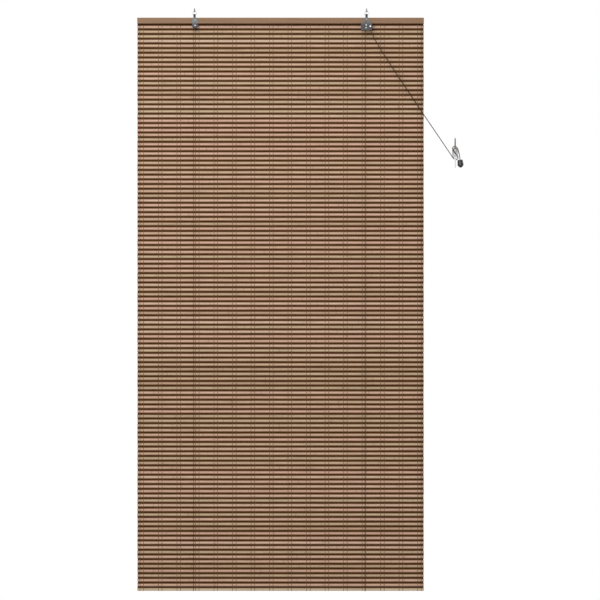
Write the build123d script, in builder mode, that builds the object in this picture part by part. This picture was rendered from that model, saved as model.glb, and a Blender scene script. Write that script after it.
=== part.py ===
from build123d import *
import os
from math import cos, pi, radians, sin, tan

# Bamboo roll up blind, let fully down, hung by two ceiling screws, with its pull cord on a wall cleat.
# Millimetres. X runs across the blind, Y from the room to the wall, Z up.
# The origin lies at the ceiling, midway between the two hanging screws and on their axes.

# Blind
blind_width = 800.0
blind_drop = 1600.0  # top of the head rail to the lower edge
row_count = 121  # rows below the rail, the last one being the bottom bar
rail_height = 16.0
rail_depth = 12.0
rail_edge = 0.8  # rounding of the rail's long edges
slat_thickness = 4.0  # at the crown
slat_edge = 1.4  # thickness of a slat's edge, shared about its middle
slat_bevel = 0.6  # at the edges of the flat back
slat_gap = 3.9  # between two slats, where the dark stick lies
rail_gap = 4.9  # bottom of the rail to the first slat below it
stick_radius = 1.7
web_thickness = 1.0  # the thread and pith between slat and stick

# Warp threads
warp_columns = 16
warp_inset = 12.25  # edge of the mat to the middle of its outer column
warp_pair = 10.0  # between the two threads of a column
thread_width = 0.8
thread_thickness = 0.5
thread_clearance = 0.15

# Hanging screws with oval eyes
screw_spacing = 480.0
shank_radius = 2.4
shank_length = 4.6  # full section, below the point
point_length = 5.0
collar_radius = 3.5
collar_thickness = 1.2
eye_wire = 2.0
eye_width = 15.0
eye_height = 10.6
eye_to_rail = 7.6  # middle of the eye's lower wire to the top of the rail

# Brackets
sheet = 1.2  # stamped steel
hook_clearance = 0.3
hook_width = 6.5
hook_lip = 2.6
side_play = 0.2  # between a sheave and what is beside it
bore_play = 0.05  # on the radius, round an axle
axle_radius = 1.2
head_radius = 2.2
head_height = 1.0

# Cords and sheaves
cord_diameter = 1.3
pull_diameter = 2.6  # both cords laid together
cord_clearance = 0.2
mat_clearance = 0.3  # between a lift cord and the mat
wrap_play = 0.05  # lets a cord's half turn round the bottom bar close
sheave_width = 4.0
groove_depth = 1.5  # from the rim to the middle of the cord
left_pitch_radius = 4.6
guide_pitch_radius = 3.6
cord_drop = 17.5  # top of the rail to the cord that runs across
pull_angle = 32.8  # of the pull cord from the vertical

# Left bracket
left_sheave_shift = 1.5  # sheave's axis to the right of the hook
left_plate_width = 17.0
shoulder_drop = 4.0
left_fold_width = 7.0
left_fold_shift = 1.5  # keeps the fold clear of the lift cord
left_cheek_radius = 4.8
left_screw_drop = 7.0

# Cord lock
guide_shift = -1.0  # guide sheaves' axis from the hook
lock_width = 32.0
lock_height = 21.0
lock_drop = 14.5  # top of the rail to the top of the housing
lock_corner = 5.0
bend_radius = 1.0  # inside the folds
leg_spread = 25.0  # across the two legs at the housing
window_top = 7.8  # below the top of the rail
window_bottom = 13.2
window_width = 13.0
right_screw_drop = 4.4
rivet_shift = -0.2  # frame rivet from the guide axle
rivet_drop = 7.5
rivet_shoulder = 1.7
bar_radius = 1.1
bar_along = 6.4  # lock bar from the guide sheave, along the pull cord
cord_gap = 0.15  # cord to lock bar and to locked roller
roller_radius = 2.5
roller_travel = 2.5
slot_angle = 20.0  # between the slots and the pull cord

# Small fasteners
fixing_radius = 1.25
fixing_length = 9.0
fixing_head_radius = 2.4
fixing_head_height = 1.5
pilot_clearance = 0.3
staple_width = 10.0
staple_wire = 0.8
staple_depth = 9.0
staple_count = 10
staple_inset = 49.0  # edge of the mat to the middle of its outer staple
knot_radius = 1.4
knot_drop = 3.0
cord_staple_drop = 6.5

# Cleat on the wall
wall_y = 26.0
cleat_x = 487.5
cleat_drop = 377.5  # top of the rail to the middle of the cleat
cleat_length = 84.0
foot_width = 17.0
foot_length = 31.0
crown_width = 12.0
crown_length = 26.0
hub_depth = 12.0
horn_root_radius = 2.4
horn_tip_radius = 1.7
horn_root_depth = 9.5  # from the wall
horn_tip_depth = 12.0
cleat_hole_radius = 1.8
cleat_hole_spacing = 16.0
cleat_screw_radius = 1.5
cleat_neck_radius = 1.65  # plain neck inside the cleat
cleat_sink_radius = 3.2
cleat_screw_length = 26.0

# End piece of the pull cord, a moulded knob that widens downwards and has a round base
knob_top_radius = 7.2
knob_radius = 8.8
knob_height = 22.0
knob_edge = 1.2
knob_base_height = 6.5

# Route of the pull cord, chosen by hand: from the lock straight to the cleat, behind its lower horn,
# up across its face, behind its upper horn and down to the end piece.
pull_route = [
    (262.6, -3.0, -68.9),
    (481.9, 18.2, -409.6),
    (487.2, 21.4, -413.8),
    (492.4, 20.4, -413.4),
    (496.4, 15.2, -409.2),
    (493.0, 11.2, -402.4),
    (481.8, 11.4, -388.2),
    (479.6, 15.8, -380.2),
    (483.2, 20.8, -376.8),
    (489.0, 20.8, -376.6),
    (493.8, 15.8, -380.6),
    (496.8, 12.6, -390.4),
    (499.8, 12.9, -402.2),
    (501.0, 13.0, -414.0),
]
pull_end_lead = 30.0  # arc where the two cords come together

# Heights and depths that follow
eye_radius = eye_wire / 2
bar_z = -collar_thickness / 2 - eye_height + eye_radius
rail_top = bar_z - eye_to_rail
rail_bottom = rail_top - rail_height
blind_bottom = rail_top - blind_drop
row_pitch = (blind_drop - rail_height) / row_count
warp_pitch = (blind_width - 2 * warp_inset) / (warp_columns - 1)
staple_pitch = (blind_width - 2 * staple_inset) / (staple_count - 1)
slat_height = row_pitch - slat_gap
bar_height = row_pitch - rail_gap
hook_radius = eye_radius + hook_clearance + sheet / 2
plate_back = hook_radius + sheet / 2
plate_front = plate_back - sheet
rail_front = plate_back
rail_back = rail_front + rail_depth
mat_y = rail_back + slat_thickness / 2
cord_radius = cord_diameter / 2
cord_off = slat_thickness / 2 + mat_clearance + cord_radius
cord_z = rail_top - cord_drop

# Axes of the sheaves
left_gap = sheave_width + 2 * side_play
lock_gap = 2 * sheave_width + 3 * side_play
back_plane_y = plate_front - side_play - sheave_width / 2
front_plane_y = back_plane_y - sheave_width - side_play
left_x = -screw_spacing / 2
right_x = screw_spacing / 2
left_sheave_x = left_x + left_sheave_shift
left_sheave_z = cord_z - left_pitch_radius
guide_x = right_x + guide_shift
guide_z = cord_z - guide_pitch_radius

# The pull cord leaves the guide sheaves along (along_x, along_z); (off_x, off_z) points away from them.
along_x = sin(radians(pull_angle))
along_z = -cos(radians(pull_angle))
off_x = cos(radians(pull_angle))
off_z = sin(radians(pull_angle))


def beside_pull(along, off):
    """Point of the lock, measured along the pull cord from the guide axle and off the cord's middle."""
    reach = guide_pitch_radius + off
    return (guide_x + along * along_x + reach * off_x, guide_z + along * along_z + reach * off_z)


lock_bar_x, lock_bar_z = beside_pull(bar_along, -(cord_radius + cord_gap + bar_radius))
locked_off = cord_radius + cord_gap + roller_radius
free_along = bar_along + roller_travel * cos(radians(slot_angle))
free_off = locked_off + roller_travel * sin(radians(slot_angle))
locked_x, locked_z = beside_pull(bar_along, locked_off)
roller_x, roller_z = beside_pull(free_along, free_off)
rivet_x = guide_x + rivet_shift
rivet_z = guide_z - rivet_drop


def facing(x, y, z):
    """Plane that faces the room: local x is X, local y is Z, and an extrusion goes towards the room."""
    return Plane(origin=(x, y, z), x_dir=(1, 0, 0), z_dir=(0, -1, 0))


os.makedirs("parts", exist_ok=True)

# Head rail, a planed batten with eased edges and a pilot hole for each bracket screw
with BuildPart() as head_rail:
    with BuildSketch(Plane.YZ.offset(-blind_width / 2)):
        with Locations((rail_front + rail_depth / 2, rail_top - rail_height / 2)):
            RectangleRounded(rail_depth, rail_height, rail_edge)
    extrude(amount=blind_width)
    with BuildSketch(facing(0, rail_front, rail_top)):
        with Locations((left_sheave_x, -left_screw_drop), (right_x, -right_screw_drop)):
            Circle(fixing_radius + pilot_clearance)
    extrude(amount=-fixing_length, mode=Mode.SUBTRACT)
head_rail.part.label = "head_rail"
export_step(head_rail.part, "parts/head_rail.step")

# Section of one slat, a split strip with its round skin in front and a flat back, about its own middle
flat_half = slat_height / 2 - slat_bevel
with BuildSketch() as slat_section:
    with BuildLine():
        front = ThreePointArc(
            (-slat_edge / 2, -slat_height / 2), (-slat_thickness / 2, 0), (-slat_edge / 2, slat_height / 2)
        )
        Polyline(
            front @ 0,
            (slat_edge / 2, -slat_height / 2),
            (slat_thickness / 2, -flat_half),
            (slat_thickness / 2, flat_half),
            (slat_edge / 2, slat_height / 2),
            front @ 1,
        )
    make_face()

# Woven mat: one row is stapled behind the rail, the others hang below it, each with a stick under it
mat_rows = row_count
mat_top = rail_bottom - rail_gap + row_pitch
mat_bottom = blind_bottom + bar_height + thread_clearance
rows_middle_z = mat_top - slat_height / 2 - (mat_rows - 1) * row_pitch / 2
sticks_middle_z = rows_middle_z - row_pitch / 2
with BuildPart() as blind_mat:
    with BuildSketch(Plane.YZ.offset(-blind_width / 2)):
        with Locations((mat_y, (mat_top + mat_bottom - slat_edge) / 2)):
            Rectangle(web_thickness, mat_top - mat_bottom - slat_edge)
        with Locations((mat_y, rows_middle_z)):
            with GridLocations(0, row_pitch, 1, mat_rows):
                add(slat_section.sketch_local)
        with Locations((mat_y, sticks_middle_z)):
            with GridLocations(0, row_pitch, 1, mat_rows):
                RegularPolygon(stick_radius, 4)
    extrude(amount=blind_width)
blind_mat.part.label = "blind_mat"
export_step(blind_mat.part, "parts/blind_mat.step")

# Bottom bar, the strip that the mat rolls up on, with a round lower edge for the cords
with BuildPart() as bottom_bar:
    with BuildSketch(Plane.YZ.offset(-blind_width / 2)):
        with Locations((mat_y, blind_bottom + slat_thickness / 2)):
            Circle(slat_thickness / 2)
        with Locations((mat_y, blind_bottom + (bar_height + slat_thickness / 2) / 2)):
            Rectangle(slat_thickness, bar_height - slat_thickness / 2)
    extrude(amount=blind_width)
bottom_bar.part.label = "bottom_bar"
export_step(bottom_bar.part, "parts/bottom_bar.step")

# Warp threads: each runs down the face, round the bottom bar and up the back
loop_inner = slat_thickness / 2 + thread_clearance
loop_outer = loop_inner + thread_thickness
loop_z = blind_bottom + slat_thickness / 2
thread_top = rail_bottom - thread_clearance
with BuildPart() as warp_threads:
    with BuildSketch(Plane.YZ):
        with BuildLine():
            outer = ThreePointArc(
                (mat_y - loop_outer, loop_z), (mat_y, loop_z - loop_outer), (mat_y + loop_outer, loop_z)
            )
            inner = ThreePointArc(
                (mat_y - loop_inner, loop_z), (mat_y, loop_z - loop_inner), (mat_y + loop_inner, loop_z)
            )
            Polyline(outer @ 0, (mat_y - loop_outer, thread_top), (mat_y - loop_inner, thread_top), inner @ 0)
            Polyline(outer @ 1, (mat_y + loop_outer, mat_top), (mat_y + loop_inner, mat_top), inner @ 1)
        make_face()
    thread = extrude(amount=thread_width / 2, both=True, mode=Mode.PRIVATE)
    with GridLocations(warp_pitch, 0, warp_columns, 1):
        with Locations((-warp_pair / 2, 0), (warp_pair / 2, 0)):
            add(thread)
warp_threads.part.label = "warp_threads"
export_step(warp_threads.part, "parts/warp_threads.step")

# Staples that hold the top row of the mat to the back of the rail
with BuildPart() as mat_staples:
    with GridLocations(staple_pitch, 0, staple_count, 1):
        with Locations((0, rail_back + slat_thickness, mat_top - slat_height / 2)):
            Box(staple_width, staple_wire, staple_wire, align=(Align.CENTER, Align.MIN, Align.CENTER))
            for leg_x in (-(staple_width - staple_wire) / 2, (staple_width - staple_wire) / 2):
                with Locations((leg_x, 0, 0)):
                    Box(staple_wire, staple_depth, staple_wire, align=(Align.CENTER, Align.MAX, Align.CENTER))
mat_staples.part.label = "mat_staples"
export_step(mat_staples.part, "parts/mat_staples.step")

# Ceiling screws: a pointed shank above the ceiling plane, a collar and an oval wire eye below it
eye_end_radius = (eye_height - eye_wire) / 2
eye_straight = (eye_width - eye_height) / 2
eye_z = bar_z + eye_end_radius
for side, screw_x in (("left", left_x), ("right", right_x)):
    with BuildPart() as screw_eye:
        with BuildSketch(Plane.XZ.move(Location((screw_x, 0, 0)))) as shank_section:
            with BuildLine():
                Polyline(
                    (0, -collar_thickness),
                    (collar_radius, -collar_thickness),
                    (collar_radius, 0),
                    (shank_radius, 0),
                    (shank_radius, shank_length),
                    (0, shank_length + point_length),
                    close=True,
                )
            make_face()
        revolve(axis=Axis((screw_x, 0, 0), (0, 0, 1)))
        with BuildLine(facing(screw_x, 0, eye_z)) as eye_path:
            top = Line((-eye_straight, eye_end_radius), (eye_straight, eye_end_radius))
            right = ThreePointArc(
                top @ 1, (eye_straight + eye_end_radius, 0), (eye_straight, -eye_end_radius)
            )
            bottom = Line(right @ 1, (-eye_straight, -eye_end_radius))
            ThreePointArc(bottom @ 1, (-eye_straight - eye_end_radius, 0), top @ 0)
        with BuildSketch(Plane(origin=(screw_x, 0, eye_z + eye_end_radius), z_dir=(1, 0, 0))):
            Circle(eye_radius)
        sweep(path=eye_path.wire())
    screw_eye.part.label = f"{side}_screw_eye"
    export_step(screw_eye.part, f"parts/{side}_screw_eye.step")

# Section of the hook at the top of each bracket, bent forward over the eye's lower wire
hook_out = hook_radius + sheet / 2
hook_in = hook_radius - sheet / 2
with BuildSketch() as hook_section:
    with BuildLine():
        outside = ThreePointArc((hook_out, bar_z), (0, bar_z + hook_out), (-hook_out, bar_z))
        inside = ThreePointArc((hook_in, bar_z), (0, bar_z + hook_in), (-hook_in, bar_z))
        Polyline(outside @ 0, (hook_out, rail_top), (hook_in, rail_top), inside @ 0)
        Polyline(outside @ 1, (-hook_out, bar_z - hook_lip), (-hook_in, bar_z - hook_lip), inside @ 1)
    make_face()

# Left bracket: plate on the face of the rail, folded up under the sheave into a front cheek
left_round = left_plate_width / 2
left_front_cheek = plate_front - left_gap
left_fold_y = plate_front - left_gap / 2
left_fold_z = left_sheave_z - left_pitch_radius - groove_depth
fold_in = left_gap / 2
fold_out = fold_in + sheet
left_fold_x = left_sheave_x + left_fold_shift
axle_hole = axle_radius + bore_play
with BuildPart() as left_bracket:
    with BuildSketch(facing(left_sheave_x, plate_back, left_sheave_z)):
        Circle(left_round)
        plate_top = rail_top - shoulder_drop - left_sheave_z
        with Locations((0, plate_top / 2)):
            Rectangle(left_plate_width, plate_top)
        hook_side = left_x - left_sheave_x
        neck_top = rail_top - left_sheave_z
        with BuildLine():
            Polyline(
                (-left_round, plate_top),
                (left_round, plate_top),
                (hook_side + hook_width / 2, neck_top),
                (hook_side - hook_width / 2, neck_top),
                close=True,
            )
        make_face()
    extrude(amount=sheet)
    with BuildSketch(Plane.YZ.offset(left_x)):
        add(hook_section.sketch_local)
    extrude(amount=hook_width / 2, both=True)
    with BuildSketch(Plane.YZ.offset(left_fold_x)):
        with Locations((left_fold_y, left_fold_z)):
            Circle(fold_out)
            Circle(fold_in, mode=Mode.SUBTRACT)
            Rectangle(2 * fold_out, fold_out, align=(Align.CENTER, Align.MIN), mode=Mode.SUBTRACT)
    extrude(amount=left_fold_width / 2, both=True)
    with BuildSketch(facing(left_sheave_x, left_front_cheek, left_sheave_z)):
        Circle(left_cheek_radius)
        with Locations((left_fold_shift, 0)):
            Rectangle(left_fold_width, left_sheave_z - left_fold_z, align=(Align.CENTER, Align.MAX))
    extrude(amount=sheet)
    with BuildSketch(facing(left_sheave_x, plate_back, left_sheave_z)):
        Circle(axle_hole)
        with Locations((0, rail_top - left_screw_drop - left_sheave_z)):
            Circle(fixing_radius + bore_play)
    extrude(amount=plate_back - left_front_cheek + sheet, mode=Mode.SUBTRACT)
left_bracket.part.label = "left_bracket"
export_step(left_bracket.part, "parts/left_bracket.step")

# Sheaves, turned with a groove for one cord each
sheave_places = (
    ("left_sheave", left_sheave_x, back_plane_y, left_sheave_z, left_pitch_radius),
    ("guide_sheave_back", guide_x, back_plane_y, guide_z, guide_pitch_radius),
    ("guide_sheave_front", guide_x, front_plane_y, guide_z, guide_pitch_radius),
)
half_sheave = sheave_width / 2
groove_play = 0.3
groove_flare = 0.4
groove_bottom_half = cord_radius + groove_play
groove_rim_half = groove_bottom_half + groove_flare
for name, axis_x, middle_y, axis_z, pitch_radius in sheave_places:
    rim = pitch_radius + groove_depth
    groove = pitch_radius - cord_radius - cord_clearance
    with BuildPart() as sheave:
        with BuildSketch(Plane((axis_x, middle_y, axis_z))):
            with BuildLine():
                Polyline(
                    (axle_hole, -half_sheave),
                    (rim, -half_sheave),
                    (rim, -groove_rim_half),
                    (groove, -groove_bottom_half),
                    (groove, groove_bottom_half),
                    (rim, groove_rim_half),
                    (rim, half_sheave),
                    (axle_hole, half_sheave),
                    close=True,
                )
            make_face()
        revolve(axis=Axis((axis_x, 0, axis_z), (0, 1, 0)))
    sheave.part.label = name
    export_step(sheave.part, f"parts/{name}.step")

# Riveted axles: a shank through both cheeks with a domed head at each end
rivet_places = (
    ("left_axle", left_sheave_x, left_sheave_z, left_gap),
    ("guide_axle", guide_x, guide_z, lock_gap),
    ("frame_rivet", rivet_x, rivet_z, lock_gap),
)
dome_width = 0.6  # share of a head's radius at its upper edge
dome_height = 0.7  # share of its height there
head_arc_y = head_height * dome_height
for name, axis_x, axis_z, gap in rivet_places:
    back_y = plate_back
    front_y = plate_front - gap - sheet
    with BuildPart() as rivet:
        with BuildSketch(Plane((axis_x, 0, axis_z))):
            with BuildLine():
                Polyline(
                    (0, back_y + head_height),
                    (head_radius * dome_width, back_y + head_arc_y),
                    (head_radius, back_y),
                    (axle_radius, back_y),
                    (axle_radius, front_y),
                    (head_radius, front_y),
                    (head_radius * dome_width, front_y - head_arc_y),
                    (0, front_y - head_height),
                    close=True,
                )
            make_face()
            if name == "frame_rivet":
                with Locations((0, plate_front)):
                    Rectangle(rivet_shoulder, gap, align=(Align.MIN, Align.MAX))
        revolve(axis=Axis((axis_x, 0, axis_z), (0, 1, 0)))
    rivet.part.label = name
    export_step(rivet.part, f"parts/{name}.step")

# Right bracket: two legs from the hook down to the lock housing, a channel folded round its right side
lock_front_cheek = plate_front - lock_gap
lock_front = lock_front_cheek - sheet
lock_top = rail_top - lock_drop
lock_middle_z = lock_top - lock_height / 2
slot_turn = 90 + pull_angle + slot_angle
with BuildPart() as right_bracket:
    with BuildSketch(Plane.XY.offset(lock_top - lock_height)) as channel:
        with Locations((right_x, (plate_back + lock_front) / 2)):
            Rectangle(lock_width, plate_back - lock_front)
        fillet(channel.vertices().group_by(Axis.X)[-1], radius=bend_radius + sheet)
        with Locations((right_x + lock_width / 2 - sheet, (plate_front + lock_front_cheek) / 2)):
            RectangleRounded(
                lock_width + bend_radius,
                lock_gap,
                bend_radius,
                align=(Align.MAX, Align.CENTER),
                mode=Mode.SUBTRACT,
            )
    extrude(amount=lock_height)
    with BuildSketch(facing(right_x, plate_back, lock_middle_z)):
        RectangleRounded(lock_width, lock_height, lock_corner)
    extrude(amount=plate_back - lock_front, mode=Mode.INTERSECT)
    with BuildSketch(facing(right_x, plate_back, rail_top)) as legs:
        with BuildLine():
            Polyline(
                (-hook_width / 2, 0),
                (hook_width / 2, 0),
                (leg_spread / 2, -lock_drop),
                (leg_spread / 2, -lock_drop - lock_corner),
                (-leg_spread / 2, -lock_drop - lock_corner),
                (-leg_spread / 2, -lock_drop),
                close=True,
            )
        make_face()
        with BuildLine():
            Polyline(
                (0, -window_top),
                (window_width / 2, -window_bottom),
                (-window_width / 2, -window_bottom),
                close=True,
            )
        make_face(mode=Mode.SUBTRACT)
        with Locations((0, -right_screw_drop)):
            Circle(fixing_radius + bore_play, mode=Mode.SUBTRACT)
    extrude(amount=sheet)
    with BuildSketch(Plane.YZ.offset(right_x)):
        add(hook_section.sketch_local)
    extrude(amount=hook_width / 2, both=True)
    with BuildSketch(facing(0, plate_back, 0)):
        with Locations((guide_x, guide_z), (rivet_x, rivet_z)):
            Circle(axle_hole)
        with Locations((lock_bar_x, lock_bar_z)):
            Circle(bar_radius + bore_play)
        with Locations(Location(((roller_x + locked_x) / 2, (roller_z + locked_z) / 2, 0), slot_turn)):
            SlotCenterToCenter(roller_travel, 2 * axle_hole)
    extrude(amount=plate_back - lock_front, mode=Mode.SUBTRACT)
right_bracket.part.label = "right_bracket"
export_step(right_bracket.part, "parts/right_bracket.step")

# Fixed bar that the roller presses the cords against, flush with both cheeks
with BuildPart() as lock_bar:
    with BuildSketch(facing(lock_bar_x, plate_back, lock_bar_z)):
        Circle(bar_radius)
    extrude(amount=plate_back - lock_front)
lock_bar.part.label = "lock_bar"
export_step(lock_bar.part, "parts/lock_bar.step")

# Lock pin, free to slide in its slots, with a flat head outside each cheek
pin_head = 0.8
pin_play = 0.15
pin_back = plate_back + pin_play
pin_front = lock_front - pin_play
with BuildPart() as lock_pin:
    with BuildSketch(facing(roller_x, pin_back + pin_head, roller_z)):
        Circle(axle_radius)
    extrude(amount=pin_back - pin_front + 2 * pin_head)
    for head_y in (pin_back + pin_head, pin_front):
        with BuildSketch(facing(roller_x, head_y, roller_z)):
            Circle(head_radius)
        extrude(amount=pin_head)
lock_pin.part.label = "lock_pin"
export_step(lock_pin.part, "parts/lock_pin.step")

# Lock roller, a plain tube on the pin
with BuildPart() as lock_roller:
    with BuildSketch(facing(roller_x, plate_front - side_play, roller_z)):
        Circle(roller_radius)
        Circle(axle_hole, mode=Mode.SUBTRACT)
    extrude(amount=lock_gap - 2 * side_play)
lock_roller.part.label = "lock_roller"
export_step(lock_roller.part, "parts/lock_roller.step")

# Round head screws that fix the brackets to the rail
with BuildPart() as bracket_screws:
    for fixing_x, fixing_drop in ((left_sheave_x, left_screw_drop), (right_x, right_screw_drop)):
        with BuildSketch(Plane((fixing_x, plate_front, rail_top - fixing_drop))):
            with BuildLine():
                dome = ThreePointArc(
                    (0, -fixing_head_height),
                    (fixing_head_radius * cos(radians(45)), -fixing_head_height * dome_height),
                    (fixing_head_radius, 0),
                )
                Polyline(
                    dome @ 1,
                    (fixing_radius, 0),
                    (fixing_radius, fixing_length - fixing_radius * 2),
                    (0, fixing_length),
                    dome @ 0,
                )
            make_face()
        revolve(axis=Axis((fixing_x, 0, rail_top - fixing_drop), (0, 1, 0)))
bracket_screws.part.label = "bracket_screws"
export_step(bracket_screws.part, "parts/bracket_screws.step")

# Lift cords: from a knot at the back of the rail down behind the mat, round the bottom bar, up the face and
# over the sheaves, then through the lock to where both are laid together
cord_back_y = mat_y + cord_off
cord_front_y = mat_y - cord_off
cord_low_z = blind_bottom + slat_thickness / 2 - cord_off
knot_z = rail_top - knot_drop
wrap = cord_off - wrap_play
left_cord_x = left_sheave_x - left_pitch_radius
right_cord_x = guide_x - guide_pitch_radius
across_turn = radians(90 - pull_angle) / 2
over_turn = radians(180 - pull_angle) / 2
corner_x, corner_z = beside_pull(-guide_pitch_radius * tan(across_turn), 0)
peak_x, peak_z = beside_pull(-guide_pitch_radius * tan(over_turn), 0)
lead_x, lead_z = beside_pull(lock_height, 0)
pull_x, pull_y, pull_z = pull_route[0]
cord_routes = (
    (
        "left_lift_cord",
        [
            (left_cord_x, cord_back_y, knot_z),
            (left_cord_x, cord_back_y, cord_low_z),
            (left_cord_x, cord_front_y, cord_low_z),
            (left_cord_x, back_plane_y, cord_z),
            (corner_x, back_plane_y, corner_z),
            (lead_x, back_plane_y, lead_z),
            (pull_x, pull_y + cord_radius, pull_z),
        ],
        [wrap, wrap, left_pitch_radius, guide_pitch_radius, pull_end_lead],
    ),
    (
        "right_lift_cord",
        [
            (right_cord_x, cord_back_y, knot_z),
            (right_cord_x, cord_back_y, cord_low_z),
            (right_cord_x, cord_front_y, cord_low_z),
            (peak_x, front_plane_y, peak_z),
            (lead_x, front_plane_y, lead_z),
            (pull_x, pull_y - cord_radius, pull_z),
        ],
        [wrap, wrap, guide_pitch_radius, pull_end_lead],
    ),
)
for name, route, radii in cord_routes:
    with BuildPart() as lift_cord:
        with BuildLine() as run:
            FilletPolyline(*route, radius=radii)
        with BuildSketch(Plane(origin=run.wire() @ 0, z_dir=run.wire() % 0)):
            Circle(cord_radius)
        sweep(path=run.wire())
        with Locations(route[0]):
            Sphere(knot_radius)
    print(name, "length", round(run.wire().length, 1), "volume", round(lift_cord.part.volume, 1))
    lift_cord.part.label = name
    export_step(lift_cord.part, f"parts/{name}.step")

# Staples that hold the back ends of the lift cords, each below its knot
staple_gap = cord_diameter + 2 * mat_clearance
staple_crown_y = cord_back_y + cord_radius + mat_clearance
staple_leg = staple_crown_y + staple_wire - rail_back + staple_depth / 2
with BuildPart() as cord_staples:
    for cord_x in (left_cord_x, right_cord_x):
        with BuildSketch(Plane.XY.offset(rail_top - cord_staple_drop)):
            with Locations((cord_x, staple_crown_y + staple_wire)):
                Rectangle(staple_gap + 2 * staple_wire, staple_leg, align=(Align.CENTER, Align.MAX))
            with Locations((cord_x, staple_crown_y)):
                Rectangle(staple_gap, staple_leg, align=(Align.CENTER, Align.MAX), mode=Mode.SUBTRACT)
        extrude(amount=staple_wire)
cord_staples.part.label = "cord_staples"
export_step(cord_staples.part, "parts/cord_staples.step")

# Wall cleat, cast in one piece: an oval hub that narrows from foot to face, and a horn at each end
cleat_z = rail_top - cleat_drop
crown_y = wall_y - hub_depth
hole_half = cleat_hole_spacing / 2
horn_tip_reach = cleat_length / 2 - horn_tip_radius
horn_root_reach = crown_length / 2 - horn_root_radius
with BuildPart() as cleat:
    with BuildSketch(facing(cleat_x, wall_y, cleat_z)):
        SlotOverall(foot_length, foot_width, rotation=90)
    with BuildSketch(facing(cleat_x, crown_y, cleat_z)):
        SlotOverall(crown_length, crown_width, rotation=90)
    loft()
    for way in (1, -1):
        root = Vector(cleat_x, wall_y - horn_root_depth, cleat_z + way * horn_root_reach)
        tip = Vector(cleat_x, wall_y - horn_tip_depth, cleat_z + way * horn_tip_reach)
        horn_length = (tip - root).length
        with BuildSketch(Plane(origin=root, x_dir=(1, 0, 0), z_dir=Vector(1, 0, 0).cross(tip - root))):
            with BuildLine():
                horn_end = ThreePointArc(
                    (horn_tip_radius, horn_length),
                    (horn_tip_radius * cos(radians(45)), horn_length + horn_tip_radius * sin(radians(45))),
                    (0, horn_length + horn_tip_radius),
                )
                Polyline(horn_end @ 0, (horn_root_radius, 0), (0, 0), horn_end @ 1)
            make_face()
        revolve(axis=Axis(root, tip - root))
    with Locations(
        facing(cleat_x, crown_y, cleat_z - hole_half), facing(cleat_x, crown_y, cleat_z + hole_half)
    ):
        CounterSinkHole(cleat_hole_radius, cleat_sink_radius, depth=hub_depth, counter_sink_angle=90)
cleat.part.label = "cleat"
export_step(cleat.part, "parts/cleat.step")

# Countersunk wall screws of the cleat
sink_play = 0.2
screw_head = cleat_sink_radius - sink_play
screw_face_y = crown_y + sink_play
with BuildPart() as cleat_screws:
    for screw_z in (cleat_z - hole_half, cleat_z + hole_half):
        with BuildSketch(Plane((cleat_x, screw_face_y, screw_z))):
            with BuildLine():
                Polyline(
                    (0, 0),
                    (screw_head, 0),
                    (cleat_neck_radius, screw_head - cleat_neck_radius),
                    (cleat_neck_radius, wall_y - screw_face_y),
                    (cleat_screw_radius, wall_y - screw_face_y),
                    (cleat_screw_radius, cleat_screw_length - 2 * cleat_screw_radius),
                    (0, cleat_screw_length),
                    close=True,
                )
            make_face()
        revolve(axis=Axis((cleat_x, 0, screw_z), (0, 1, 0)))
cleat_screws.part.label = "cleat_screws"
export_step(cleat_screws.part, "parts/cleat_screws.step")

# Pull cord: each arc is as large as its two runs allow
corners = [Vector(*point) for point in pull_route]
pull_radii = []
for before, corner, after in zip(corners, corners[1:], corners[2:]):
    arriving = corner - before
    leaving = after - corner
    turn = radians(arriving.get_angle(leaving))
    pull_radii.append(0.45 * min(arriving.length, leaving.length) / tan(turn / 2))
with BuildPart() as pull_cord:
    with BuildLine() as pull_run:
        FilletPolyline(*pull_route, radius=pull_radii)
    with BuildSketch(Plane(origin=pull_run.wire() @ 0, z_dir=pull_run.wire() % 0)):
        Circle(pull_diameter / 2)
    sweep(path=pull_run.wire())
pull_length = pull_run.wire().length
section_volume = pull_length * pi * (pull_diameter / 2) ** 2
print("pull cord radii", [round(radius, 1) for radius in pull_radii])
print("pull cord length", round(pull_length, 1), "volume", round(pull_cord.part.volume, 1))
print("section times length", round(section_volume, 1))
pull_cord.part.label = "pull_cord"
export_step(pull_cord.part, "parts/pull_cord.step")

# End piece, in line with the cord's last run
hanging = corners[-1] - corners[-2]
knob_plane = Plane(origin=corners[-1], x_dir=Vector(0, -1, 0).cross(hanging), z_dir=(0, -1, 0))
knob_side = knob_base_height - knob_height
with BuildPart() as end_piece:
    with BuildSketch(knob_plane):
        with BuildLine():
            top_edge = ThreePointArc(
                (knob_top_radius - knob_edge, 0),
                (knob_top_radius - 0.3 * knob_edge, -0.3 * knob_edge),
                (knob_top_radius, -knob_edge),
            )
            base = ThreePointArc(
                (knob_radius, knob_side),
                (knob_radius * 0.75, 0.65 * knob_side - 0.35 * knob_height - 0.5),
                (knob_radius * 0.25, -knob_height),
            )
            Polyline(top_edge @ 0, (0, 0), (0, -knob_height), base @ 1)
            Line(top_edge @ 1, base @ 0)
        make_face()
    revolve(axis=Axis(corners[-1], hanging))
end_piece.part.label = "cord_end_piece"
export_step(end_piece.part, "parts/cord_end_piece.step")
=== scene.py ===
# Looks of a bamboo roll up blind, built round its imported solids. Metres, in the part's own frame:
# X runs across the blind, Y from the room to the wall, Z up from the ceiling.
import math

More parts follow.
